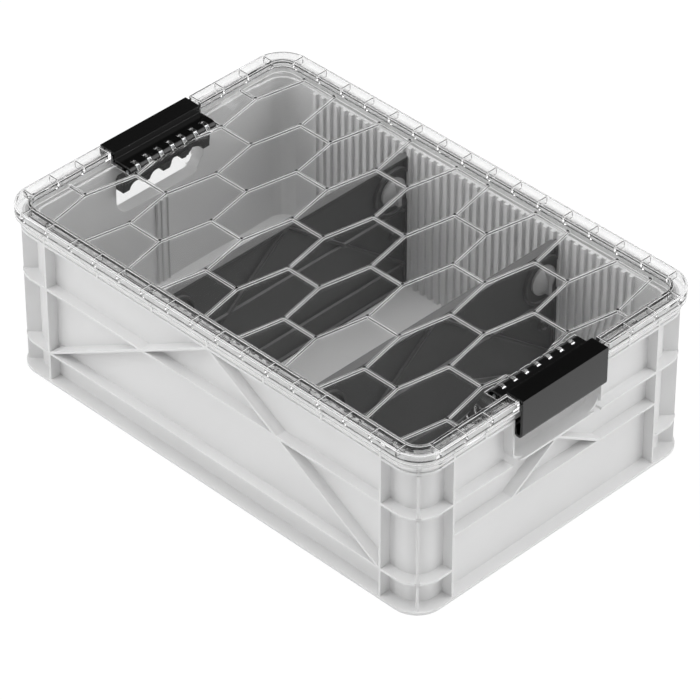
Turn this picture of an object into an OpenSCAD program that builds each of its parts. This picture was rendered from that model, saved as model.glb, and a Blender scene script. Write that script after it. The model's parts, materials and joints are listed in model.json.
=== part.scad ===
/* [Crate] */
// Length of the crate over its outer ribs
crate_l = 600; // [560:5:680]
// Width of the crate over its outer ribs
crate_w = 400; // [360:5:460]
// Height of the crate to the top of its rim
crate_h = 200; // [190:5:260]
// Radius of the upright corners, over the ribs
corner_r = 30; // [26:1:36]
// Thickness of the crate's wall
wall = 3; // [2.4:0.2:3.4]
// Gap between the top of the wall and the lid's panel
wall_gap = 1.5; // [1:0.5:4]
// Depth of the outer ribs, from the wall out
rib_depth = 13; // [12:0.5:15]
// Thickness of the outer ribs
rib_t = 3; // [2:0.2:4]
// Radius of the wall's outer face at the corners
skin_r = 24; // [20:1:30]
// Height of the floor's underside
floor_z = 4; // [3:0.5:6]
// Thickness of the floor
floor_t = 3; // [2.4:0.2:4]
// How far the foot flange stands out past the ribs
foot_out = 2; // [1:0.5:4]
// Thickness of the foot flange
foot_t = 3.5; // [2.5:0.5:5]
// Width of the foot flange's face under the crate
foot_w = 26; // [20:1:34]
// Pitch of the ribs under the floor
under_pitch = 90; // [70:5:120]
// How far those ribs stay above the foot's face
under_up = 1; // [0.5:0.5:2]

/* [Outer ribs] */
// Distance from the end of the crate to the upright rib on the long side
long_rib_in = 53.5; // [48:0.5:60]
// Distance from the side of the crate to the upright rib on the short side
short_rib_in = 50.5; // [46:0.5:56]
// Height of the lower level rib
low_rib_z = 38; // [30:1:46]
// Height of the upper level rib
high_rib_z = 123; // [116:0.5:124]
// Height of the middle rib on the short side
mid_rib_z = 82; // [74:1:90]
// Half the spread of the small braces under a handle
brace_half = 65.5; // [55:0.5:75]

/* [Rim] */
// Height of the rim band above the seat ledge
band_h = 17.5; // [16:0.5:20]
// Thickness of the seat ledge, which is also the lower rim flange
ledge_t = 3; // [2.4:0.2:3.4]
// Inset of the rim band's outer face from the ribs
band_in = 2; // [1.4:0.2:2.4]
// Thickness of the rim band
band_t = 3; // [2.4:0.2:3.4]
// Height of the upper rim flange above the seat ledge
flange_up = 2.3; // [1.5:0.1:3]
// Thickness of the upper rim flange
flange_t = 2.5; // [1.5:0.1:3]
// Height of the small upright webs above the seat ledge
web_up = 12; // [8:0.5:14]
// Number of spaces between the webs on the long side
long_webs = 6; // [4:1:8]
// Distance from the middle to the inner web on the short side
short_web_y = 104.5; // [95:0.5:115]

/* [Inner ribs] */
// Pitch of the inner ribs that locate the dividers
slot_pitch = 11; // [10.6:0.1:12]
// Width of an inner rib
slot_rib_w = 5; // [4.4:0.1:5.4]
// Depth of an inner rib
slot_rib_d = 4; // [3:0.5:5]
// Inner ribs on each side of the middle one
slot_ribs = 21; // [16:1:22]
// Half width of the raised strip on the inner short wall
strip_half = 9; // [6:1:12]
// How far that strip stands out
strip_d = 1.2; // [0.8:0.1:1.6]
// Distance from the hand hole down to that strip
strip_gap = 8; // [5:1:14]

/* [Hand holes] */
// Width of a hand hole
hole_w = 127; // [120:1:134]
// Height of a hand hole
hole_h = 48.5; // [44:0.5:52]
// Height of the wall left between a hand hole and the seat ledge
hole_under = 5.5; // [5:0.5:9]
// Radius of the hand hole's lower corners
hole_r = 19; // [14:1:22]
// Thickness of the collar around a hand hole
collar_t = 3; // [2.4:0.2:3.6]
// How far the collar's catch edge is cut back from the ribs
catch_in = 3; // [2.6:0.1:3.4]

/* [Grips] */
// How far a grip stands in past the crate's wall
grip_in = 11; // [8:0.5:12.5]
// How far a grip stands out past the wall's outer face
grip_out = 8; // [6:0.5:9]
// Height of a grip below the top of the hand hole
grip_h = 12.5; // [11:0.5:15]
// How far a grip's lips reach up the wall
grip_lip = 4.5; // [3:0.5:5]
// Thickness of the outer lip
grip_lip_t = 4; // [3:0.5:4.5]
// Number of finger scallops
fingers = 4; // [3:1:4]
// Pitch of the finger scallops
finger_pitch = 29.2; // [27:0.2:30]
// Radius of a finger scallop
finger_r = 10; // [8:0.5:12]
// Height of a scallop above the grip's lower face
finger_up = 7.5; // [5:0.5:9]

/* [Lid] */
// How far the lid stands out past the crate's ribs
lid_out = 6.5; // [5:0.5:8]
// Height of the lid's rim above the crate's rim
lid_up = 10; // [8:0.5:12]
// How far the skirt hangs below the crate's rim
skirt_drop = 3; // [2:0.5:5]
// Thickness of the skirt
skirt_t = 2.5; // [2:0.1:3]
// Thickness of the channel's floor and of the panel's edge
channel_t = 2; // [1.6:0.1:2.4]
// Gap between the crate's rim band and the lid's inner rail
rail_gap = 3; // [1:0.5:4]
// Thickness of the inner rail
rail_t = 3.6; // [3:0.2:5]
// Drop from the crate's rim to the panel's top
panel_drop = 4; // [3:0.5:5]
// Thickness of the panel
panel_t = 2.5; // [2:0.1:3]
// Pitch of the webs across the channel
lid_web_pitch = 36.4; // [30:0.2:42]
// Thickness of those webs
lid_web_t = 2; // [1.6:0.1:2.6]
// Distance from the ends of the sides to the last web
lid_web_end = 24; // [22:1:30]

/* [Honeycomb] */
// Length of a cell's level edge
cell_edge = 45.6; // [40:0.2:50]
// How far the slanted edges lean along the lid
cell_lean = 11.9; // [9:0.1:15]
// Half the length of a cell across the lid
cell_half = 62.2; // [56:0.2:68]
// Width of a honeycomb rib
cell_rib_w = 2.4; // [1.6:0.1:3.2]
// Height of a honeycomb rib
cell_rib_h = 3; // [2:0.2:4]

/* [Latches] */
// Length of a latch
latch_l = 125; // [119:1:126]
// Distance from the crate's end to the hinge axis
hinge_in = 32; // [31:0.5:34]
// Depth of the hinge axis below the crate's rim
hinge_down = 7; // [6.5:0.1:7.5]
// Radius of the latch's hinge barrel
barrel_r = 7.5; // [7:0.1:7.8]
// Thickness of the ring round the recess in a barrel's end
ring_t = 2.2; // [1.8:0.1:3]
// Depth of that recess
ring_d = 3; // [2:0.5:4]
// Radius of the hinge pin
pin_r = 2; // [1.6:0.1:2.6]
// How far the pin ends inside the latch
pin_end_in = 1.5; // [0.5:0.5:2.5]
// Width of a lid knuckle
knuckle_w = 5; // [4:0.2:6]
// Pitch of the lid knuckles
knuckle_pitch = 16.8; // [15:0.1:17.4]
// Lid knuckles on each side of the middle one
knuckles = 3; // [2:1:3]
// How far a knuckle's ring stands past the latch's barrel
knuckle_over = 0.5; // [0.3:0.1:0.8]
// Gap between the latch's barrel and the edge of the lid's panel
notch_gap = 1; // [0.9:0.1:2]
// Distance from the hand hole's edge to the side of the lid's notch
notch_out = 2; // [1:0.5:3]
// Thickness of the walls beside the notch
notch_wall = 2; // [1.6:0.2:2.4]
// How far the honeycomb's ribs stop short of the notch
rib_back = 2; // [1.5:0.5:4]
// Thickness of the latch's face plate
plate_t = 3.25; // [2.8:0.05:3.6]
// How far the face plate stands out past the crate's ribs
plate_out = 8.6; // [8.2:0.2:11]
// Height of the face plate from hook to top
plate_h = 48; // [45:0.5:50]
// Thickness of the latch's top bar
bar_t = 5.8; // [5:0.1:6]
// Height of the top bar above the crate's rim
bar_up = 9; // [8.6:0.1:10]
// Distance from the hinge axis to the inner face of the top bar
bar_reach = 18; // [16:0.5:19]
// Thickness of the arm from the barrel to the bar
arm_t = 5; // [4:0.2:5.4]
// How far the hook's lip rises above the curl
lip_up = 5; // [3:0.2:6]

/* [Dividers] */
// Inner-rib gap that holds the first divider, counted from the middle
slot_a = -9; // [-14:1:-6]
// Inner-rib gap that holds the second divider, counted from the middle
slot_b = 11; // [6:1:14]
// Thickness of a divider's web
div_t = 3; // [2.4:0.2:3.6]
// Width of a divider's flanges
div_flange_w = 11; // [10:0.5:13]
// Thickness of a divider's flanges
div_flange_t = 3; // [2.4:0.2:3.6]
// Drop from the seat ledge to the divider's top
div_drop = 0.5; // [0:0.5:4]
// Depth of the ribs on a divider's faces
div_rib_d = 3.8; // [2:0.2:4]
// Width of the ribs on a divider's faces
div_rib_w = 3.2; // [2.4:0.2:4]
// Height of the divider's middle rib
div_mid_z = 112; // [105:1:120]
// Height of the divider's lower rib
div_low_z = 38; // [30:1:46]

/* [Divider locks] */
// Distance from the divider's end to the lock's axis
lock_in = 19.5; // [18.5:0.1:26]
// Distance from the divider's top down to the lock's axis
lock_down = 38.5; // [36:0.5:48]
// Outer radius of the cup round a knob
cup_r = 29.5; // [26:0.5:31]
// Thickness of the cup's wall
cup_t = 3.2; // [2.4:0.2:4]
// Radius of a knob
knob_r = 17.5; // [16:0.5:18.5]
// Height of a knob's rim above the divider's web
knob_rim = 3.4; // [2.5:0.1:5]
// Height of the dome above the knob's rim
knob_dome = 7; // [5:0.5:9]
// Radius of the dome's foot
dome_r = 16; // [14:0.5:16.5]
// Height of the thumb ridge above the dome
ridge_up = 2; // [1:0.5:3]
// Width of the thumb ridge
ridge_w = 5; // [4:0.5:7]
// Length of the thumb ridge
ridge_l = 28; // [22:1:30]
// Radius of the lock's shaft
shaft_r = 4; // [3:0.1:5]
// Thickness of the cam
cam_t = 3; // [2.4:0.2:3.2]
// Radius of the cam round its shaft
cam_hub_r = 8; // [7:0.5:9]
// Width of the cam's tongue
cam_w = 8; // [6:0.5:9]
// Radius of the small boss below a lock
boss_r = 8; // [6:0.5:9]
// Thickness of that boss's wall
boss_t = 2.5; // [2:0.1:3.4]
// Distance of that boss below the lock's axis
boss_down = 61; // [52:1:66]
// Distance from the divider's end to that boss
boss_in = 16; // [13:0.5:24]

/* [Fits] */
// Gap between pieces that sit on each other
seat = 0.3; // [0.2:0.05:0.4]
// Gap beside pieces that slide or turn past each other
side_gap = 0.3; // [0.25:0.05:0.45]
// Radial gap of a pin that turns in its hole
run_fit = 0.06; // [0.03:0.01:0.1]

/* [Hidden] */
$fn = 48;
over = 0.5;

half_l = crate_l / 2;
half_w = crate_w / 2;
skin_l = crate_l - 2 * rib_depth;
skin_w = crate_w - 2 * rib_depth;
in_l = skin_l - 2 * wall;
in_w = skin_w - 2 * wall;
in_r = skin_r - wall;
floor_top = floor_z + floor_t;
ledge_z = crate_h - band_h;
ledge_under = ledge_z - ledge_t;
band_face = band_in + band_t;
hole_top = ledge_under - hole_under;
hole_low = hole_top - hole_h;
corner_from = skin_r - sqrt(2) * (rib_depth + skin_r - corner_r) - wall / 2;
flush = 0.05;
long_rib_x = half_l - long_rib_in;
short_rib_y = half_w - short_rib_in;
collar_half = hole_w / 2 + collar_t;

rail_in = band_face + rail_gap;
lid_top = crate_h + lid_up;
lid_seat = crate_h + seat;
panel_top = crate_h - panel_drop;
panel_low = panel_top - panel_t;
wall_top = panel_low - wall_gap;
hinge_x = half_l - hinge_in;
hinge_z = crate_h - hinge_down;
knuckle_r = barrel_r + knuckle_over;
notch_half = hole_w / 2 + notch_out;
notch_x = hinge_x - barrel_r - notch_gap;
notch_l = half_l + lid_out - notch_x + over;
column = cell_edge + cell_lean;
rail_x = half_l - rail_in - rail_t;

plate_x = half_l + plate_out;
plate_low = crate_h + bar_up - plate_h;
hook_x = half_l - catch_in + seat;
curl_r = (plate_x - hook_x) / 2;
curl_z = plate_low + curl_r;
bar_x = hinge_x + bar_reach;
bar_z = crate_h + bar_up;

slot_y = in_w / 2 - slot_rib_d;
div_half = slot_y - seat;
tongue_half = in_w / 2 - seat;
tongue_t = slot_pitch - slot_rib_w - 2 * side_gap;
div_low = floor_top + seat;
div_top = ledge_z - div_drop;
div_a_x = (slot_a + 0.5) * slot_pitch;
div_b_x = (slot_b + 0.5) * slot_pitch;
lock_y = div_half - lock_in;
lock_z = div_top - lock_down;
cup_top = div_flange_w / 2;
cam_reach = div_half - lock_y;
cam_low = -div_t / 2 - side_gap - cam_t;

// Outline of a rounded rectangle
module rounded(l, w, r) {
  square([l - 2 * r, w], center = true);
  square([l, w - 2 * r], center = true);
  for (sx = [-1, 1], sy = [-1, 1])
    translate([sx * (l / 2 - r), sy * (w / 2 - r)])
      circle(r);
}

// Outline that follows the crate's plan, moved in by a distance
module plan(inset) {
  rounded(crate_l - 2 * inset, crate_w - 2 * inset, corner_r - inset);
}

// Band between two insets of the crate's plan, from z0 to z1
module band(outer, inner, z0, z1) {
  translate([0, 0, z0])
    linear_extrude(z1 - z0)
      difference() {
        plan(outer);
        plan(inner);
      }
}

// Band from an inset of the crate's plan in to the wall's outer face
module rib_band(outer, z0, z1) {
  translate([0, 0, z0])
    linear_extrude(z1 - z0)
      difference() {
        plan(outer);
        rounded(skin_l - 2 * over, skin_w - 2 * over, skin_r - over);
      }
}

// Children drawn on the +X end, and mirrored on the other end
module at_end(side) {
  if (side > 0)
    children();
  else
    mirror([1, 0, 0])
      children();
}

// Children drawn on the +Y side, and mirrored on the other side
module at_side(side) {
  if (side > 0)
    children();
  else
    mirror([0, 1, 0])
      children();
}

// Outline with square upper corners and round lower ones
module cup_outline(half, low, high, r) {
  translate([-half, low + r])
    square([2 * half, high - low - r]);
  translate([-half + r, low])
    square([2 * half - 2 * r, r + over]);
  for (s = [-1, 1])
    translate([s * (half - r), low + r])
      circle(r);
}

// Outline in the Y-Z plane, pushed along X from x0 to x1
module push_x(x0, x1) {
  translate([x0, 0, 0])
    rotate([90, 0, 90])
      linear_extrude(x1 - x0)
        children();
}

// Outline in the X-Z plane, pushed along Y from y0 to y1
module push_y(y0, y1) {
  translate([0, y1, 0])
    rotate([90, 0, 0])
      linear_extrude(y1 - y0)
        children();
}

// Flat bar between two points of a plane
module bar(p, q, t) {
  d = q - p;
  translate(p)
    rotate(atan2(d[1], d[0]))
      translate([0, -t / 2])
        square([norm(d), t]);
}

module tub_shell() {
  difference() {
    linear_extrude(wall_top)
      rounded(skin_l, skin_w, skin_r);
    translate([0, 0, floor_top])
      linear_extrude(crate_h)
        rounded(in_l, in_w, in_r);
    translate([0, 0, -over])
      linear_extrude(floor_z + over)
        rounded(in_l, in_w, in_r);
  }
}

module foot() {
  linear_extrude(foot_t)
    difference() {
      plan(-foot_out);
      plan(foot_w);
    }
  intersection() {
    translate([0, 0, under_up])
      linear_extrude(floor_z)
        rounded(in_l + 2 * over, in_w + 2 * over, in_r + over);
    union() {
      for (k = [-3 : 3])
        translate([k * under_pitch - rib_t / 2, -half_w, 0])
          cube([rib_t, crate_w, floor_z + over]);
      for (k = [-1.5 : 1.5])
        translate([-half_l, k * under_pitch - rib_t / 2, 0])
          cube([crate_l, rib_t, floor_z + over]);
    }
  }
}

module rim() {
  rib_band(0, ledge_under, ledge_z);
  band(band_in, band_face, ledge_under, crate_h);
  band(0, band_in + over, ledge_z + flange_up, ledge_z + flange_up + flange_t);
}

// Small upright webs on the rim's outside
module rim_webs() {
  step = 2 * long_rib_x / long_webs;
  web_d = band_in + over;
  web_h = web_up + ledge_t;
  for (side = [-1, 1]) {
    at_side(side)
      for (k = [0 : long_webs])
        translate([-long_rib_x + k * step - rib_t / 2, half_w - web_d, ledge_under])
          cube([rib_t, web_d, web_h]);
    at_end(side)
      for (y = [-short_rib_y, -short_web_y, short_web_y, short_rib_y])
        translate([half_l - web_d, y - rib_t / 2, ledge_under])
          cube([web_d, rib_t, web_h]);
  }
  corner_ribs(ledge_under, web_h, corner_r - web_d);
}

// Upright ribs on the corners' diagonals
module corner_ribs(z, h, from) {
  for (sx = [-1, 1], sy = [-1, 1])
    translate([sx * (half_l - corner_r), sy * (half_w - corner_r), z])
      rotate(atan2(sy, sx))
        translate([from, -rib_t / 2, 0])
          cube([corner_r - from - flush, rib_t, h]);
}

module upright_ribs() {
  inner = rib_depth + over;
  for (side = [-1, 1]) {
    at_side(side)
      for (x = [-long_rib_x, long_rib_x])
        translate([x - rib_t / 2, half_w - inner, 0])
          cube([rib_t, inner, ledge_under + over]);
    at_end(side)
      for (y = [-short_rib_y, short_rib_y])
        translate([half_l - inner, y - rib_t / 2, 0])
          cube([inner, rib_t, ledge_under + over]);
  }
  corner_ribs(0, ledge_under + over, corner_from);
}

module level_ribs() {
  difference() {
    rib_band(0, high_rib_z - rib_t / 2, high_rib_z + rib_t / 2);
    cube([crate_l + 2 * over, hole_w + collar_t, 2 * crate_h], center = true);
  }
  difference() {
    rib_band(0, low_rib_z - rib_t / 2, low_rib_z + rib_t / 2);
    cube([crate_l + 2 * over, 2 * short_rib_y, 2 * crate_h], center = true);
  }
}

// Braces on the long sides, and the middle rib and braces on the short sides
module braces() {
  inner = rib_depth + over;
  for (side = [-1, 1]) {
    at_side(side)
      push_y(half_w - inner, half_w)
        for (s = [-1, 1])
          bar([0, ledge_under + ledge_t / 2], [s * long_rib_x, low_rib_z], rib_t);
    at_end(side)
      push_x(half_l - inner, half_l) {
        translate([-short_rib_y, mid_rib_z - rib_t / 2])
          square([2 * short_rib_y, rib_t]);
        for (s = [-1, 1])
          bar([0, hole_low - collar_t / 2], [s * brace_half, mid_rib_z], rib_t);
      }
  }
}

module collar() {
  push_x(half_l - rib_depth - over, half_l)
    difference() {
      cup_outline(collar_half, hole_low - collar_t, ledge_under + over, hole_r + collar_t);
      cup_outline(hole_w / 2, hole_low, ledge_z, hole_r);
    }
}

// Ribs on the long inner walls, and the raised strip on the short ones
module inner_ribs() {
  for (side = [-1, 1]) {
    at_side(side)
      for (k = [-slot_ribs : slot_ribs])
        translate([k * slot_pitch - slot_rib_w / 2, slot_y, floor_z])
          cube([slot_rib_w, slot_rib_d + over, wall_top - floor_z]);
    at_end(side)
      translate([in_l / 2 - strip_d, -strip_half, floor_z])
        cube([strip_d + over, 2 * strip_half, hole_low - strip_gap - floor_z]);
  }
}

// The hand hole, and the pocket that the latch's hook comes down into
module end_cuts() {
  push_x(in_l / 2 - slot_rib_d, skin_l / 2 + over)
    cup_outline(hole_w / 2, hole_low, hole_top, hole_r);
  translate([half_l - catch_in, -hole_w / 2, hole_low])
    cube([catch_in + foot_out, hole_w, crate_h]);
}

module crate_tub() {
  color("gainsboro")
    difference() {
      union() {
        tub_shell();
        foot();
        rim();
        rim_webs();
        upright_ribs();
        level_ribs();
        braces();
        inner_ribs();
        for (side = [-1, 1])
          at_end(side)
            collar();
      }
      for (side = [-1, 1])
        at_end(side)
          end_cuts();
    }
}

// A grip clips over the lower edge of the wall above the hand hole
module grip(side) {
  x_in = in_l / 2;
  x_out = skin_l / 2;
  half = hole_w / 2 - side_gap;
  top = hole_top - side_gap;
  low = hole_top - grip_h;
  color([0.13, 0.13, 0.13])
    at_end(side)
      difference() {
        union() {
          translate([x_in - grip_in, -half, low])
            cube([grip_in + wall + grip_out, 2 * half, top - low]);
          translate([x_in - grip_in, -half, top - over])
            cube([grip_in - side_gap, 2 * half, grip_lip + over]);
          translate([x_out + side_gap, -half, top - over])
            cube([grip_lip_t, 2 * half, grip_lip + over]);
        }
        push_x(x_in - grip_in - over, x_out + grip_out + over)
          for (k = [0 : fingers - 1])
            translate([(k - (fingers - 1) / 2) * finger_pitch, low + finger_up - finger_r])
              circle(finger_r);
      }
}

// One cell of the honeycomb, drawn in by half a rib
module cell() {
  t = cell_rib_w / 2;
  side = t * sqrt(1 + pow(cell_lean / cell_half, 2));
  x_wide = cell_edge / 2 + cell_lean - side;
  x_edge = x_wide - cell_lean * (cell_half - t) / cell_half;
  y_edge = cell_half - t;
  polygon([[x_wide, 0], [x_edge, y_edge], [-x_edge, y_edge],
           [-x_wide, 0], [-x_edge, -y_edge], [x_edge, -y_edge]]);
}

module honeycomb() {
  columns = ceil(half_l / column);
  rows = ceil(half_w / (2 * cell_half)) + 1;
  translate([0, 0, panel_top - over])
    linear_extrude(cell_rib_h + over)
      difference() {
        plan(rail_in + rail_t - over);
        for (i = [-columns : columns], j = [-rows : rows])
          translate([i * column, (2 * j + (i % 2 == 0 ? 0 : 1)) * cell_half])
            cell();
      }
}

// Webs across the channel, from the rail to the skirt
module lid_webs() {
  height = lid_top - lid_seat;
  across = rail_in + lid_out;
  for (side = [-1, 1]) {
    at_side(side)
      for (k = [0 : ceil(half_l / lid_web_pitch)], s = [-1, 1]) {
        x = (k + 0.5) * lid_web_pitch;
        if (x < half_l - lid_web_end)
          translate([s * x - lid_web_t / 2, half_w - rail_in - over, lid_seat])
            cube([lid_web_t, across, height]);
      }
    at_end(side)
      for (k = [1 : ceil(half_w / lid_web_pitch)], s = [-1, 1]) {
        y = notch_half + k * lid_web_pitch;
        if (y < half_w - lid_web_end)
          translate([half_l - rail_in - over, s * y - lid_web_t / 2, lid_seat])
            cube([across, lid_web_t, height]);
      }
  }
}

module lid_frame() {
  floor_top_z = lid_seat + channel_t;
  band(-lid_out, -lid_out + skirt_t, crate_h - skirt_drop, lid_top);
  band(-lid_out + over, rail_in + over, lid_seat, floor_top_z);
  band(rail_in, rail_in + rail_t, panel_low, lid_top);
  translate([0, 0, panel_low])
    linear_extrude(panel_t)
      plan(rail_in + over);
}

// The opening in the lid's end that a latch sits in
module notch_cut() {
  translate([notch_x, -notch_half, 0])
    cube([notch_l, 2 * notch_half, 2 * crate_h]);
  translate([notch_x - rib_back, -notch_half, panel_top])
    cube([notch_l, 2 * notch_half, crate_h]);
}

// Walls beside that opening, and the lid's knuckles in it
module notch_parts() {
  outer = half_l + lid_out;
  for (s = [-1, 1])
    at_side(s)
      translate([rail_x, notch_half, lid_seat])
        cube([outer - rail_x, notch_wall, lid_top - lid_seat]);
  for (k = [-knuckles : knuckles])
    translate([0, k * knuckle_pitch, 0])
      knuckle();
}

// One clear knuckle: a ring round the hinge pin, on a tongue of the panel
module knuckle() {
  push_y(-knuckle_w / 2, knuckle_w / 2) {
    translate([hinge_x, hinge_z])
      circle(knuckle_r);
    translate([notch_x - over, panel_low])
      square([hinge_x - notch_x + over, panel_t]);
  }
}

// A round bar along Y on the hinge axis
module on_axis(r, half) {
  translate([hinge_x, half, hinge_z])
    rotate([90, 0, 0])
      cylinder(r = r, h = 2 * half);
}

module lid() {
  color([0.85, 0.9, 0.92, 0.4])
    difference() {
      union() {
        difference() {
          union() {
            lid_frame();
            lid_webs();
            honeycomb();
          }
          for (side = [-1, 1])
            at_end(side)
              notch_cut();
        }
        for (side = [-1, 1])
          at_end(side)
            notch_parts();
      }
      for (side = [-1, 1])
        at_end(side)
          on_axis(pin_r + run_fit / 2, notch_half);
    }
}

module hinge_pin(side) {
  color([0.75, 0.76, 0.78])
    at_end(side)
      on_axis(pin_r, latch_l / 2 - pin_end_in);
}

// The latch's section: barrel, arm, top bar, face plate and curled hook
module latch_section() {
  arm_z = hinge_z + barrel_r - arm_t;
  mid_x = (plate_x + hook_x) / 2;
  translate([hinge_x, hinge_z])
    circle(barrel_r);
  translate([hinge_x, arm_z])
    square([bar_reach + plate_t, arm_t]);
  translate([bar_x, arm_z])
    square([plate_t, bar_z - arm_z]);
  translate([bar_x, bar_z - bar_t])
    square([plate_x - bar_x, bar_t]);
  translate([plate_x - plate_t, curl_z])
    square([plate_t, bar_z - curl_z]);
  difference() {
    translate([mid_x, curl_z])
      circle(curl_r);
    translate([mid_x, curl_z])
      circle(curl_r - plate_t);
    translate([hook_x - over, curl_z])
      square([2 * (curl_r + over), curl_r + over]);
  }
  translate([hook_x, curl_z - over])
    square([plate_t, lip_up + over]);
  translate([hook_x + plate_t / 2, curl_z + lip_up])
    circle(plate_t / 2);
}

module latch(side) {
  half = latch_l / 2;
  color([0.07, 0.07, 0.07])
    at_end(side)
      difference() {
        push_y(-half, half)
          latch_section();
        for (k = [-knuckles : knuckles])
          translate([0, k * knuckle_pitch, 0])
            on_axis(hinge_x - notch_x + side_gap, knuckle_w / 2 + side_gap);
        on_axis(pin_r + run_fit, half + over);
        for (s = [-1, 1])
          translate([0, s * half, 0])
            on_axis(barrel_r - ring_t, ring_d);
      }
}

// Flanges round a divider's edge, and the tongues in the wall's gaps
module div_frame() {
  translate([-div_t / 2, -div_half, div_low])
    cube([div_t, 2 * div_half, div_top - div_low]);
  for (z = [div_low, div_top - div_flange_t])
    translate([-div_flange_w / 2, -div_half, z])
      cube([div_flange_w, 2 * div_half, div_flange_t]);
  for (s = [-1, 1])
    at_side(s) {
      translate([-div_flange_w / 2, div_half - div_flange_t, div_low])
        cube([div_flange_w, div_flange_t, div_top - div_low]);
      translate([-tongue_t / 2, div_half - over, div_low])
        cube([tongue_t, tongue_half - div_half + over, div_top - div_low]);
    }
}

// Braces and level ribs on both faces of a divider
module div_ribs() {
  deep = div_t / 2 + div_rib_d;
  push_x(-deep, deep) {
    for (s = [-1, 1])
      bar([0, div_top - div_flange_t / 2], [s * (div_half - div_flange_t / 2), div_low_z], div_rib_w);
    for (z = [div_mid_z, div_low_z])
      translate([-div_half + over, z - div_rib_w / 2])
        square([2 * (div_half - over), div_rib_w]);
  }
}

// Round bar along X, centred on a lock's axis
module lock_bar(r, x0, x1) {
  push_x(x0, x1)
    circle(r);
}

module divider(x) {
  color([0.3, 0.3, 0.3])
    translate([x, 0, 0])
      difference() {
        union() {
          div_frame();
          difference() {
            div_ribs();
            for (s = [-1, 1])
              translate([0, s * lock_y, lock_z])
                lock_bar(cup_r - over, -div_flange_w, div_flange_w);
          }
          intersection() {
            for (s = [-1, 1])
              translate([0, s * lock_y, lock_z])
                lock_bar(cup_r, -div_t / 2, cup_top);
            translate([-crate_l / 2, -div_half, 0])
              cube([crate_l, 2 * div_half, crate_h]);
          }
          for (s = [-1, 1])
            translate([0, s * (div_half - boss_in), lock_z - boss_down])
              difference() {
                lock_bar(boss_r, 0, cup_top);
                lock_bar(boss_r - boss_t, div_t / 2, cup_top + over);
              }
        }
        for (s = [-1, 1])
          translate([0, s * lock_y, lock_z]) {
            lock_bar(shaft_r + run_fit, -div_flange_w, div_flange_w);
            lock_bar(cam_reach + seat, -div_flange_w, -div_t / 2);
            lock_bar(cup_r - cup_t, div_t / 2, div_flange_w);
          }
      }
}

// Half section of a knob: a flat rim with a dome on it
module knob_half() {
  ball = (dome_r * dome_r + knob_dome * knob_dome) / (2 * knob_dome);
  square([knob_r, knob_rim - side_gap]);
  intersection() {
    translate([0, knob_rim - side_gap + knob_dome - ball])
      circle(ball);
    translate([0, knob_rim - side_gap - over])
      square([dome_r, knob_dome + 2 * over]);
  }
}

// A knob with its thumb ridge and its shaft, on the X axis
module lock_knob(x, s) {
  base = div_t / 2 + side_gap;
  rim_x = div_t / 2 + knob_rim;
  ridge_h = knob_dome + ridge_up;
  color([0.2, 0.2, 0.2])
    translate([x, s * lock_y, lock_z]) {
      translate([base, 0, 0])
        rotate([0, 90, 0])
          rotate_extrude()
            knob_half();
      intersection() {
        translate([rim_x - over, -ridge_w / 2, -ridge_l / 2])
          cube([ridge_h + over, ridge_w, ridge_l]);
        lock_bar(ridge_l / 2, 0, rim_x + ridge_h + over);
      }
      lock_bar(shaft_r, cam_low - over, base + over);
    }
}

// A cam on the back of a lock: its tongue reaches the wall's ribs
module lock_cam(x, s) {
  color([0.2, 0.2, 0.2])
    translate([x, s * lock_y, lock_z])
      push_x(cam_low, cam_low + cam_t)
        difference() {
          union() {
            circle(cam_hub_r);
            translate([s > 0 ? 0 : cam_w / 2 - cam_reach, -cam_w / 2])
              square([cam_reach - cam_w / 2, cam_w]);
            translate([s * (cam_reach - cam_w / 2), 0])
              circle(cam_w / 2);
          }
          circle(shaft_r + run_fit);
        }
}

crate_tub();
grip(-1);  // grip_left
grip(1);  // grip_right
divider(div_a_x);  // divider_left
divider(div_b_x);  // divider_right
lock_knob(div_a_x, -1);  // lock_knob_left_front
lock_knob(div_a_x, 1);  // lock_knob_left_back
lock_knob(div_b_x, -1);  // lock_knob_right_front
lock_knob(div_b_x, 1);  // lock_knob_right_back
lock_cam(div_a_x, -1);  // lock_cam_left_front
lock_cam(div_a_x, 1);  // lock_cam_left_back
lock_cam(div_b_x, -1);  // lock_cam_right_front
lock_cam(div_b_x, 1);  // lock_cam_right_back
lid();
hinge_pin(-1);  // hinge_pin_left
hinge_pin(1);  // hinge_pin_right
latch(-1);  // latch_left
latch(1);  // latch_right
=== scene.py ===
"""A stacking storage crate with a clear lid, two latches, hand grips and two lockable dividers."""
import json
import math

import bmesh
import bpy
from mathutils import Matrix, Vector


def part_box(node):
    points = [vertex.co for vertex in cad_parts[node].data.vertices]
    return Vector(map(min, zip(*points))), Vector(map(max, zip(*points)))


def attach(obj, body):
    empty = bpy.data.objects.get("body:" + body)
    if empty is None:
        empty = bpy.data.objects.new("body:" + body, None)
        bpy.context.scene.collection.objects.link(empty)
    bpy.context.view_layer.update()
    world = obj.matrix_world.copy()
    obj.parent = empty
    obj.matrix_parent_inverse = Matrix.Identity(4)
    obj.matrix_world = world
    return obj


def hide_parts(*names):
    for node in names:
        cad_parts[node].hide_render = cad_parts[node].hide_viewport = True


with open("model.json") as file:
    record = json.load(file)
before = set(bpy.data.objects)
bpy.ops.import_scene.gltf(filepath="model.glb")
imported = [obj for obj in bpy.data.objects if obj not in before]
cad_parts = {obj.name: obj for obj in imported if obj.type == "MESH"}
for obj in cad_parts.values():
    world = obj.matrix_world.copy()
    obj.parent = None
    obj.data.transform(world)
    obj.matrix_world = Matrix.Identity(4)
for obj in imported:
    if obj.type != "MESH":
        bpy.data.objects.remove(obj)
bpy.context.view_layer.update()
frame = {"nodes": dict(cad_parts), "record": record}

MM = 0.001
BODY_OF = {node: body for body, nodes in frame["record"]["behaviour"]["bodies"].items() for node in nodes}
SLOT_OF = {part["node"]: part["material_slot"] for part in frame["record"]["subparts"]}

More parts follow.
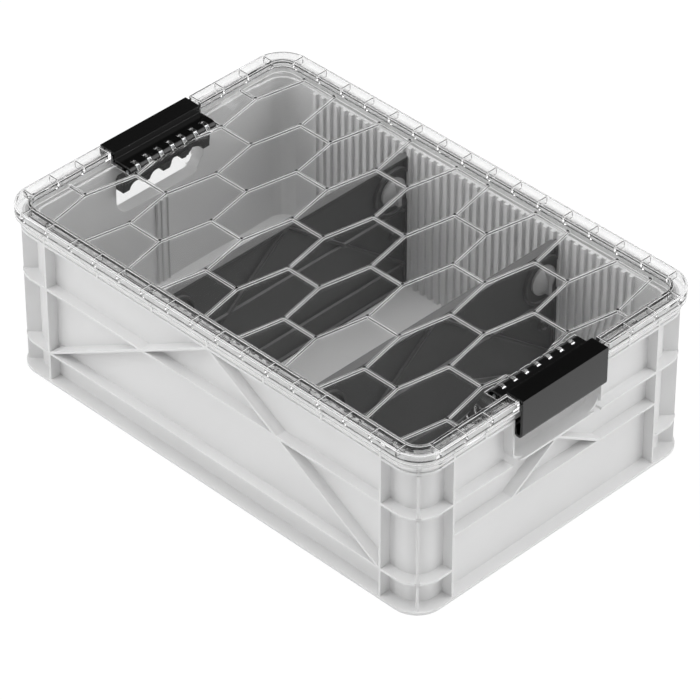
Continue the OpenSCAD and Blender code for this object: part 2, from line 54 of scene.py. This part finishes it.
# Heights on the lid. A face or an edge counts as at a height when it is within the slack
LEVEL_SLACK = 0.1 * MM
LID_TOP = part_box("lid")[1][2]
RIM_FROM = LID_TOP - LEVEL_SLACK
# Painted shade on the lid's rail starts this far below the top
RAIL_PAINTED_SHADE_FROM = RIM_FROM - 4 * MM
PANEL_TOP = LID_TOP - 14 * MM
COMB_TOP = PANEL_TOP + 3 * MM

# The centres of the lid's corners, and how far its inner rail and its skirt reach out from them
CORNER_X = 270 * MM
CORNER_Y = 170 * MM
RAIL_REACH = 22 * MM
SKIRT_REACH = 34 * MM
REACH_SLACK = 0.3 * MM


# Materials

PLASTIC_IOR = 1.5
POLYCARBONATE_IOR = 1.45
TONE_DRIFT_MM = 120
ROUGHNESS_DRIFT = 0.04
UPWARD_FROM = 0.7
UPWARD_FULL = 0.95
WIRE_LINES_PER_METRE = (4000, 60, 4000)


def linear(hex_colour):
    """An sRGB hex colour as linear red, green, blue and alpha."""
    channels = [int(hex_colour[i:i + 2], 16) / 255 for i in (1, 3, 5)]
    return tuple(c / 12.92 if c <= 0.04045 else ((c + 0.055) / 1.055) ** 2.4 for c in channels) + (1.0,)


def add(tree, kind, settings=None, inputs=None):
    """Adds a node with its settings, and sets or links its inputs."""
    made = tree.nodes.new(kind)
    for name, value in (settings or {}).items():
        setattr(made, name, value)
    for name, value in (inputs or {}).items():
        socket = made.inputs[name]
        if isinstance(value, bpy.types.NodeSocket):
            tree.links.new(value, socket)
        else:
            socket.default_value = value
    return made


def new_material(name):
    """An empty node material, its tree and its output node."""
    material = bpy.data.materials.new(name)
    material.use_nodes = True
    tree = material.node_tree
    tree.nodes.clear()
    return material, tree, add(tree, "ShaderNodeOutputMaterial")


def mottled(tree, position, low, high, size_mm):
    """A colour that drifts between two tones over patches of a real size."""
    noise = add(tree, "ShaderNodeTexNoise", None,
                {"Vector": position, "Scale": 1 / (size_mm * MM), "Detail": 3.0})
    ramp = add(tree, "ShaderNodeValToRGB", None, {"Fac": noise.outputs["Fac"]})
    ramp.color_ramp.elements[0].position = 0.3
    ramp.color_ramp.elements[0].color = linear(low)
    ramp.color_ramp.elements[1].position = 0.7
    ramp.color_ramp.elements[1].color = linear(high)
    return ramp.outputs["Color"]


def moulded_plastic(name, low, high, roughness, grain_mm, grain_depth_mm, edge_mm, painted_top_light=None):
    """Injection-moulded plastic: an even colour, a spark-eroded grain and small rounded edges.

    Real grain is about 0.1 mm wide, and it is drawn about ten times as coarse so that it shows.
    The top tone is painted light: faces that look up are drawn lighter, as if more light and reflection fell
    on them from above.
    """
    material, tree, output = new_material(name)
    position = add(tree, "ShaderNodeTexCoord").outputs["Object"]
    colour = mottled(tree, position, low, high, TONE_DRIFT_MM)
    # Painted light: faces that look up mix towards the lighter top tone
    if painted_top_light:
        facing = add(tree, "ShaderNodeNewGeometry").outputs["Normal"]
        upward = add(tree, "ShaderNodeSeparateXYZ", None, {"Vector": facing}).outputs["Z"]
        on_top = add(tree, "ShaderNodeMapRange", None,
                     {"Value": upward, "From Min": UPWARD_FROM, "From Max": UPWARD_FULL})
        painted_top_mix = add(tree, "ShaderNodeMix", {"data_type": "RGBA"},
                    {0: on_top.outputs["Result"], 6: colour, 7: linear(painted_top_light)})
        colour = painted_top_mix.outputs[2]
    grain = add(tree, "ShaderNodeTexNoise", None,
                {"Vector": position, "Scale": 1 / (grain_mm * MM), "Detail": 2.0})
    rounded = add(tree, "ShaderNodeBevel", {"samples": 4}, {"Radius": edge_mm * MM})
    bump = add(tree, "ShaderNodeBump", None,
               {"Height": grain.outputs["Fac"], "Distance": grain_depth_mm * MM, "Strength": 0.5,
                "Normal": rounded.outputs["Normal"]})
    wear = add(tree, "ShaderNodeMapRange", None,
               {"Value": grain.outputs["Fac"], "To Min": roughness - ROUGHNESS_DRIFT,
                "To Max": roughness + ROUGHNESS_DRIFT})
    shader = add(tree, "ShaderNodeBsdfPrincipled", None,
                 {"Base Color": colour, "Roughness": wear.outputs["Result"], "IOR": PLASTIC_IOR,
                  "Normal": bump.outputs["Normal"]})
    tree.links.new(shader.outputs["BSDF"], output.inputs["Surface"])
    return material


def painted_end_on_shade_mask(tree):
    """Where painted shade goes: 1 on the outside of the lid's inner rail and on top of the webs behind it,
    and 0 elsewhere.
    """
    place = add(tree, "ShaderNodeTexCoord").outputs["Object"]
    mirrored = add(tree, "ShaderNodeVectorMath", {"operation": "ABSOLUTE"}, {0: place})
    past = add(tree, "ShaderNodeVectorMath", {"operation": "SUBTRACT"},
               {0: mirrored.outputs["Vector"], 1: (CORNER_X, CORNER_Y, 1)})
    clamped = add(tree, "ShaderNodeVectorMath", {"operation": "MAXIMUM"},
                  {0: past.outputs["Vector"], 1: (0, 0, 0)})
    length = add(tree, "ShaderNodeVectorMath", {"operation": "LENGTH"}, {0: clamped.outputs["Vector"]})
    reach = length.outputs["Value"]
    height = add(tree, "ShaderNodeSeparateXYZ", None, {"Vector": place}).outputs["Z"]
    on_rail = add(tree, "ShaderNodeMath", {"operation": "COMPARE"},
                  {0: reach, 1: RAIL_REACH, 2: REACH_SLACK})
    upper = add(tree, "ShaderNodeMath", {"operation": "GREATER_THAN"}, {0: height, 1: RAIL_PAINTED_SHADE_FROM})
    rail = add(tree, "ShaderNodeMath", {"operation": "MULTIPLY"},
               {0: on_rail.outputs[0], 1: upper.outputs[0]})
    on_web = add(tree, "ShaderNodeMath", {"operation": "COMPARE"},
                 {0: reach, 1: (RAIL_REACH + SKIRT_REACH) / 2,
                  2: (SKIRT_REACH - RAIL_REACH) / 2 - REACH_SLACK})
    on_top = add(tree, "ShaderNodeMath", {"operation": "GREATER_THAN"}, {0: height, 1: RIM_FROM})
    web = add(tree, "ShaderNodeMath", {"operation": "MULTIPLY"},
              {0: on_web.outputs[0], 1: on_top.outputs[0]})
    either = add(tree, "ShaderNodeMath", {"operation": "MAXIMUM"}, {0: rail.outputs[0], 1: web.outputs[0]})
    return either.outputs[0]


def clear_polycarbonate(name, tint, end_on_painted_shade=None):
    """Clear polycarbonate: refracts and mirrors, and lets the lamps through to what is below it.

    The end-on tint is painted shade: a dark colour on the rail and the web tops that stands in for the dark
    look of a thin clear wall seen along its length.
    """
    material, tree, output = new_material(name)
    colour = linear(tint)
    # Painted shade: a dark tint mixed in where the mask is 1
    if end_on_painted_shade:
        tinted = add(tree, "ShaderNodeMix", {"data_type": "RGBA"},
                     {0: painted_end_on_shade_mask(tree), 6: linear(tint), 7: linear(end_on_painted_shade)})
        colour = tinted.outputs[2]
    glass = add(tree, "ShaderNodeBsdfPrincipled", None,
                {"Base Color": colour, "Roughness": 0.02, "IOR": POLYCARBONATE_IOR,
                 "Transmission Weight": 0.99})
    through = add(tree, "ShaderNodeBsdfTransparent", None, {"Color": linear("#FAFAFA")})
    path = add(tree, "ShaderNodeLightPath")
    lamp_ray = add(tree, "ShaderNodeMath", {"operation": "MAXIMUM"},
                   {0: path.outputs["Is Shadow Ray"], 1: path.outputs["Is Diffuse Ray"]})
    mix = add(tree, "ShaderNodeMixShader", None,
              {0: lamp_ray.outputs[0], 1: glass.outputs["BSDF"], 2: through.outputs["BSDF"]})
    tree.links.new(mix.outputs["Shader"], output.inputs["Surface"])
    return material


def painted_highlight_edge():
    """Painted highlight: the rounded edges of clear polycarbonate are drawn as a whitish, mostly diffuse
    plastic, so that they show as white lines.
    """
    material, tree, output = new_material("polycarbonate_edge_painted_highlight")
    shader = add(tree, "ShaderNodeBsdfPrincipled", None,
                 {"Base Color": linear("#F4F4F4"), "Roughness": 0.3, "IOR": POLYCARBONATE_IOR,
                  "Transmission Weight": 0.25})
    tree.links.new(shader.outputs["BSDF"], output.inputs["Surface"])
    return material


def drawn_steel():
    """Drawn steel wire: bright metal with fine lines along it, 0.25 mm wide so that they show."""
    material, tree, output = new_material("steel_drawn_wire")
    position = add(tree, "ShaderNodeTexCoord").outputs["Object"]
    stretch = add(tree, "ShaderNodeMapping", None, {"Vector": position, "Scale": WIRE_LINES_PER_METRE})
    lines = add(tree, "ShaderNodeTexNoise", None, {"Vector": stretch.outputs["Vector"], "Scale": 1.0})
    rough = add(tree, "ShaderNodeMapRange", None,
                {"Value": lines.outputs["Fac"], "To Min": 0.25, "To Max": 0.4})
    shader = add(tree, "ShaderNodeBsdfPrincipled", None,
                 {"Base Color": linear("#B9BABD"), "Metallic": 1.0, "Roughness": rough.outputs["Result"]})
    tree.links.new(shader.outputs["BSDF"], output.inputs["Surface"])
    return material


FINISH = {
    # Satin light grey, even in tone, with soft highlights
    "crate_grey": moulded_plastic(
        "polypropylene_light_grey_eroded", "#DADADA", "#DEDEDE",
        roughness=0.42, grain_mm=1.4, grain_depth_mm=0.02, edge_mm=0.7),
    # Sharp reflections, a clear view of what is below, and painted shade as dark lines along the rail
    "lid_clear": clear_polycarbonate("polycarbonate_clear_polished", "#F6F6F6", end_on_painted_shade="#141414"),
    # Deep black with a gloss
    "latch_black": moulded_plastic(
        "polyamide_black_moulded", "#020202", "#050505",
        roughness=0.19, grain_mm=1.2, grain_depth_mm=0.01, edge_mm=0.5),
    # Soft black without a gloss
    "grip_black": moulded_plastic(
        "elastomer_black_moulded", "#080808", "#0C0C0C",
        roughness=0.42, grain_mm=1.0, grain_depth_mm=0.02, edge_mm=0.6),
    # Satin dark grey, with painted light that draws the faces looking up lighter
    "divider_grey": moulded_plastic(
        "polypropylene_dark_grey_moulded", "#303030", "#343434",
        roughness=0.4, grain_mm=1.4, grain_depth_mm=0.02, edge_mm=0.6, painted_top_light="#6A6A6A"),
    # Polished mid grey that stands out from the divider
    "knob_grey": moulded_plastic(
        "polyamide_grey_polished", "#9C9C9C", "#A4A4A4",
        roughness=0.14, grain_mm=1.0, grain_depth_mm=0.005, edge_mm=0.5),
    "pin_steel": drawn_steel(),
}
# Painted highlight for the lid's rounded edges
LID_EDGE_PAINTED_HIGHLIGHT = painted_highlight_edge()
# Painted shade: small dark spots on the pips, which stand in for the shade where the honeycomb's ribs meet
LID_PIP_PAINTED_SHADE = clear_polycarbonate("polycarbonate_pip_painted_shade", "#404040")

for name, cad_node in frame["nodes"].items():
    cad_node.data.materials.clear()
    cad_node.data.materials.append(FINISH[SLOT_OF[name]])


# Rounded edges

MERGE_DISTANCE = 0.002 * MM
SHARP_ANGLE = math.radians(30)
FACET_ANGLE = math.radians(16)
SQUARE_ON = 0.99999
LID_EDGE_RADIUS_MM = 0.45
EDGE_RADIUS_MM = {
    "crate_tub": 0.5,
    "latch_left": 0.6, "latch_right": 0.6,
    "grip_left": 0.8, "grip_right": 0.8,
    "divider_left": 0.5, "divider_right": 0.5,
    "lock_knob_left_front": 0.4, "lock_knob_left_back": 0.4,
    "lock_knob_right_front": 0.4, "lock_knob_right_back": 0.4,
}


def lid_edge_to_round(edge):
    """Whether an edge belongs to the honeycomb on the lid's panel or to the top of its rim."""
    low = PANEL_TOP - LEVEL_SLACK
    high = COMB_TOP + LEVEL_SLACK
    in_comb = all(low < end.co.z < high for end in edge.verts)
    on_rim = all(end.co.z > RIM_FROM for end in edge.verts)
    return in_comb or on_rim


def rounded_piece(node, radius_mm, chosen=None, edge_highlight_paint=None):
    """A copy of a solid with its sharp edges rounded, which takes the solid's place.

    Faces square-on to an axis are shaded flat, so that a clear panel doesn't bend what is behind it.
    """
    shape = bmesh.new()
    shape.from_mesh(frame["nodes"][node].data)
    bmesh.ops.remove_doubles(shape, verts=shape.verts, dist=MERGE_DISTANCE)
    weight = shape.edges.layers.float.new("bevel_weight_edge")
    for edge in shape.edges:
        if len(edge.link_faces) == 2 and edge.calc_face_angle() > SHARP_ANGLE:
            edge[weight] = 1.0 if chosen is None or chosen(edge) else 0.0
    mesh = bpy.data.meshes.new(node)
    shape.to_mesh(mesh)
    shape.free()
    piece = bpy.data.objects.new(node + "_rounded", mesh)
    bpy.context.scene.collection.objects.link(piece)
    edges = piece.modifiers.new("edges", "BEVEL")
    edges.width = radius_mm * MM
    edges.segments = 2
    edges.limit_method = "WEIGHT"
    edges.use_clamp_overlap = False
    mesh.materials.append(FINISH[SLOT_OF[node]])
    # The rounded edges can take a second finish, which on the lid is a painted highlight
    if edge_highlight_paint:
        mesh.materials.append(edge_highlight_paint)
        edges.material = 1
    evaluated = piece.evaluated_get(bpy.context.evaluated_depsgraph_get())
    finished = bpy.data.meshes.new_from_object(evaluated)
    piece.modifiers.clear()
    piece.data = finished
    turned = [max(abs(c) for c in face.normal) < SQUARE_ON for face in finished.polygons]
    finished.polygons.foreach_set("use_smooth", turned)
    finished.set_sharp_from_angle(angle=FACET_ANGLE)
    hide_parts(node)
    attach(piece, BODY_OF[node])


for name, radius in EDGE_RADIUS_MM.items():
    rounded_piece(name, radius)
rounded_piece("lid", LID_EDGE_RADIUS_MM, chosen=lid_edge_to_round, edge_highlight_paint=LID_EDGE_PAINTED_HIGHLIGHT)


# Pips on the corners of the honeycomb

CELL_EDGE = 45.6 * MM
CELL_LEAN = 11.9 * MM
CELL_HALF = 62.2 * MM
CELL_COLUMNS = range(-6, 7)
CELL_ROWS = range(-2, 3)
CORNER_REACH = 4 * MM
PIP_SIDES = 16
PIP_FOOT_RADIUS = 1.7 * MM
PIP_TOP_RADIUS = 1.1 * MM
PIP_HEIGHT = 0.6 * MM


def comb_corners():
    """The corners of the honeycomb's cells where ribs of the lid meet, on top of the ribs."""
    tops = [v.co for v in frame["nodes"]["lid"].data.vertices if abs(v.co.z - COMB_TOP) < MERGE_DISTANCE]
    corners = []
    for column in CELL_COLUMNS:
        for row in CELL_ROWS:
            y = (2 * row + column % 2) * CELL_HALF
            for side in (-1, 1):
                x = column * (CELL_EDGE + CELL_LEAN) + side * (CELL_EDGE / 2 + CELL_LEAN)
                corner = Vector((x, y, COMB_TOP))
                if sum((top - corner).length < CORNER_REACH for top in tops) >= 3:
                    corners.append(corner)
    return corners


def pip_tree():
    """Geometry Nodes that set a small round pip with sloping sides on every point."""
    tree = bpy.data.node_groups.new("pips_on_points", "GeometryNodeTree")
    tree.interface.new_socket("Points", in_out="INPUT", socket_type="NodeSocketGeometry")
    for size in ("Foot Radius", "Top Radius", "Height"):
        tree.interface.new_socket(size, in_out="INPUT", socket_type="NodeSocketFloat")
    tree.interface.new_socket("Finish", in_out="INPUT", socket_type="NodeSocketMaterial")
    tree.interface.new_socket("Pips", in_out="OUTPUT", socket_type="NodeSocketGeometry")
    given = add(tree, "NodeGroupInput")
    pip = add(tree, "GeometryNodeMeshCone", {"fill_type": "NGON"},
              {"Vertices": PIP_SIDES, "Radius Top": given.outputs["Top Radius"],
               "Radius Bottom": given.outputs["Foot Radius"], "Depth": given.outputs["Height"]})
    placed = add(tree, "GeometryNodeInstanceOnPoints", None,
                 {"Points": given.outputs["Points"], "Instance": pip.outputs["Mesh"]})
    solid = add(tree, "GeometryNodeRealizeInstances", None, {"Geometry": placed.outputs["Instances"]})
    finished = add(tree, "GeometryNodeSetMaterial", None,
                   {"Geometry": solid.outputs["Geometry"], "Material": given.outputs["Finish"]})
    add(tree, "NodeGroupOutput", None, {"Pips": finished.outputs["Geometry"]})
    return tree


def comb_pips():
    """A pip on each corner of the honeycomb, where the mould's ejector pins push the lid out."""
    mesh = bpy.data.meshes.new("comb_pips")
    mesh.from_pydata([tuple(corner) for corner in comb_corners()], [], [])
    piece = bpy.data.objects.new("comb_pips", mesh)
    bpy.context.scene.collection.objects.link(piece)
    tree = pip_tree()
    # The pips take the dark finish that is painted shade
    given = {"Foot Radius": PIP_FOOT_RADIUS, "Top Radius": PIP_TOP_RADIUS, "Height": PIP_HEIGHT,
             "Finish": LID_PIP_PAINTED_SHADE}
    pips = piece.modifiers.new("pips", "NODES")
    pips.node_group = tree
    for socket in tree.interface.items_tree:
        if socket.name in given:
            pips[socket.identifier] = given[socket.name]
    evaluated = piece.evaluated_get(bpy.context.evaluated_depsgraph_get())
    finished = bpy.data.meshes.new_from_object(evaluated)
    piece.modifiers.clear()
    piece.data = finished
    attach(piece, "lid")


comb_pips()


# Ridges on the inside of the short walls

RIDGES_MM = ((-9.0, -7.0), (-2.2, 2.2), (7.0, 9.0))
RIDGE_FOOT_X = 284.5 * MM
RIDGE_FACE_X = 280.8 * MM
RIDGE_LOW = 6.8 * MM
RIDGE_HIGH = 117 * MM
RIDGE_ROUND = 0.6 * MM


def add_box(shape, low, high):
    """Adds a box between two corners to a bmesh."""
    made = bmesh.ops.create_cube(shape, size=1)["verts"]
    for vertex in made:
        vertex.co = Vector([low[i] if vertex.co[i] < 0 else high[i] for i in range(3)])


def wall_ridges():
    """Three upright ridges on each short wall, with two shaded channels between them."""
    shape = bmesh.new()
    for low_y, high_y in RIDGES_MM:
        add_box(shape, (-RIDGE_FOOT_X, low_y * MM, RIDGE_LOW), (-RIDGE_FACE_X, high_y * MM, RIDGE_HIGH))
        add_box(shape, (RIDGE_FACE_X, low_y * MM, RIDGE_LOW), (RIDGE_FOOT_X, high_y * MM, RIDGE_HIGH))
    bmesh.ops.bevel(shape, geom=shape.edges[:], offset=RIDGE_ROUND, segments=2, affect="EDGES")
    bmesh.ops.recalc_face_normals(shape, faces=shape.faces)
    mesh = bpy.data.meshes.new("wall_ridges")
    shape.to_mesh(mesh)
    shape.free()
    mesh.materials.append(FINISH["crate_grey"])
    piece = bpy.data.objects.new("wall_ridges", mesh)
    bpy.context.scene.collection.objects.link(piece)
    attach(piece, "crate")


wall_ridges()


# Stage, lamps and camera

FLOOR_SIZE = 14.0
FLOOR_DROP = 0.0004
FLOOR_PAPER = (0.82, 0.82, 0.82, 1)
FLOOR_GLOW = 1.05
FLOOR_WHITE = 0.9
STUDIO_WALLS = (0.8, 0.8, 0.8, 1)
STUDIO_CEILING = (0.04, 0.04, 0.04, 1)
WALLS_UP_TO = 0.25
CEILING_FROM = 0.55
LAMP_DISTANCE = 3.0
LAMP_SIZE = 2.4
LAMP_AIM = (0, 0, 0.1)
# Each lamp's name, azimuth, elevation and power in watts
LAMPS = (
    ("lamp_above", 45, 80, 55),
    ("lamp_front_left", -38, 38, 42),
    ("lamp_back_right", 128, 38, 45),
)
# The camera stands where the photograph was taken from
CAMERA_AZIMUTH = 45.112
CAMERA_ELEVATION = 38.752
CAMERA_DISTANCE = 4.7654
CAMERA_AIM = (-0.0210, 0.02551, 0.0428)
CAMERA_LENS = 231.26
CAMERA_REACH = 50
SENSOR_WIDTH = 36.0


def white_floor():
    """A white floor that shows white, with a faint shadow of the crate."""
    material, tree, output = new_material("floor_white_paper")
    paper = add(tree, "ShaderNodeBsdfDiffuse", None, {"Color": FLOOR_PAPER})
    white = add(tree, "ShaderNodeEmission", None, {"Color": (1, 1, 1, 1), "Strength": FLOOR_GLOW})
    path = add(tree, "ShaderNodeLightPath")
    seen = add(tree, "ShaderNodeMath", {"operation": "MAXIMUM"},
               {0: path.outputs["Is Camera Ray"], 1: path.outputs["Is Glossy Ray"]})
    seen_clear = add(tree, "ShaderNodeMath", {"operation": "MAXIMUM"},
                     {0: seen.outputs[0], 1: path.outputs["Is Transmission Ray"]})
    share = add(tree, "ShaderNodeMath", {"operation": "MULTIPLY"}, {0: seen_clear.outputs[0], 1: FLOOR_WHITE})
    mix = add(tree, "ShaderNodeMixShader", None,
              {0: share.outputs[0], 1: paper.outputs["BSDF"], 2: white.outputs["Emission"]})
    tree.links.new(mix.outputs["Shader"], output.inputs["Surface"])
    return material


def make_floor():
    """A large square floor at the crate's foot, dropped a hair so that it doesn't touch."""
    half = FLOOR_SIZE / 2
    corners = [(-half, -half, 0), (half, -half, 0), (half, half, 0), (-half, half, 0)]
    mesh = bpy.data.meshes.new("floor")
    mesh.from_pydata(corners, [], [(0, 1, 2, 3)])
    floor = bpy.data.objects.new("floor", mesh)
    bpy.context.scene.collection.objects.link(floor)
    floor.location.z = -FLOOR_DROP
    mesh.materials.append(white_floor())


def make_world():
    """A studio with bright walls near the horizon and a dim ceiling."""
    world = bpy.data.worlds.new("studio")
    bpy.context.scene.world = world
    world.use_nodes = True
    tree = world.node_tree
    tree.nodes.clear()
    direction = add(tree, "ShaderNodeTexCoord").outputs["Generated"]
    height = add(tree, "ShaderNodeSeparateXYZ", None, {"Vector": direction}).outputs["Z"]
    ramp = add(tree, "ShaderNodeValToRGB", None, {"Fac": height})
    ramp.color_ramp.elements[0].position = WALLS_UP_TO
    ramp.color_ramp.elements[0].color = STUDIO_WALLS
    ramp.color_ramp.elements[1].position = CEILING_FROM
    ramp.color_ramp.elements[1].color = STUDIO_CEILING
    glow = add(tree, "ShaderNodeBackground", None, {"Color": ramp.outputs["Color"], "Strength": 1.0})
    output = add(tree, "ShaderNodeOutputWorld")
    tree.links.new(glow.outputs["Background"], output.inputs["Surface"])


def from_direction(azimuth, elevation, distance):
    """The point at a distance from the crate's base. Azimuth 0 is in front and 90 at the right end."""
    a = math.radians(azimuth)
    e = math.radians(elevation)
    return Vector((math.sin(a) * math.cos(e), -math.cos(a) * math.cos(e), math.sin(e))) * distance


def point_at(thing, point):
    """Turns a lamp or the camera towards a point."""
    aim = Vector(point) - thing.location
    thing.rotation_euler = aim.to_track_quat("-Z", "Y").to_euler()


def make_lamp(name, azimuth, elevation, power):
    """A square lamp that faces the crate's middle."""
    data = bpy.data.lights.new(name, "AREA")
    data.shape = "SQUARE"
    data.size = LAMP_SIZE
    data.energy = power
    lamp = bpy.data.objects.new(name, data)
    bpy.context.scene.collection.objects.link(lamp)
    lamp.location = from_direction(azimuth, elevation, LAMP_DISTANCE)
    point_at(lamp, LAMP_AIM)


def make_camera():
    """The photograph's own view."""
    data = bpy.data.cameras.new("camera")
    data.sensor_width = SENSOR_WIDTH
    data.lens = CAMERA_LENS
    data.clip_end = CAMERA_REACH
    camera = bpy.data.objects.new("camera", data)
    bpy.context.scene.collection.objects.link(camera)
    camera.location = from_direction(CAMERA_AZIMUTH, CAMERA_ELEVATION, CAMERA_DISTANCE)
    point_at(camera, CAMERA_AIM)
    bpy.context.scene.camera = camera


make_floor()
make_world()
for name, azimuth, elevation, power in LAMPS:
    make_lamp(name, azimuth, elevation, power)
make_camera()
bpy.context.scene.view_settings.view_transform = "Standard"
bpy.context.scene.cycles.transparent_max_bounces = 32
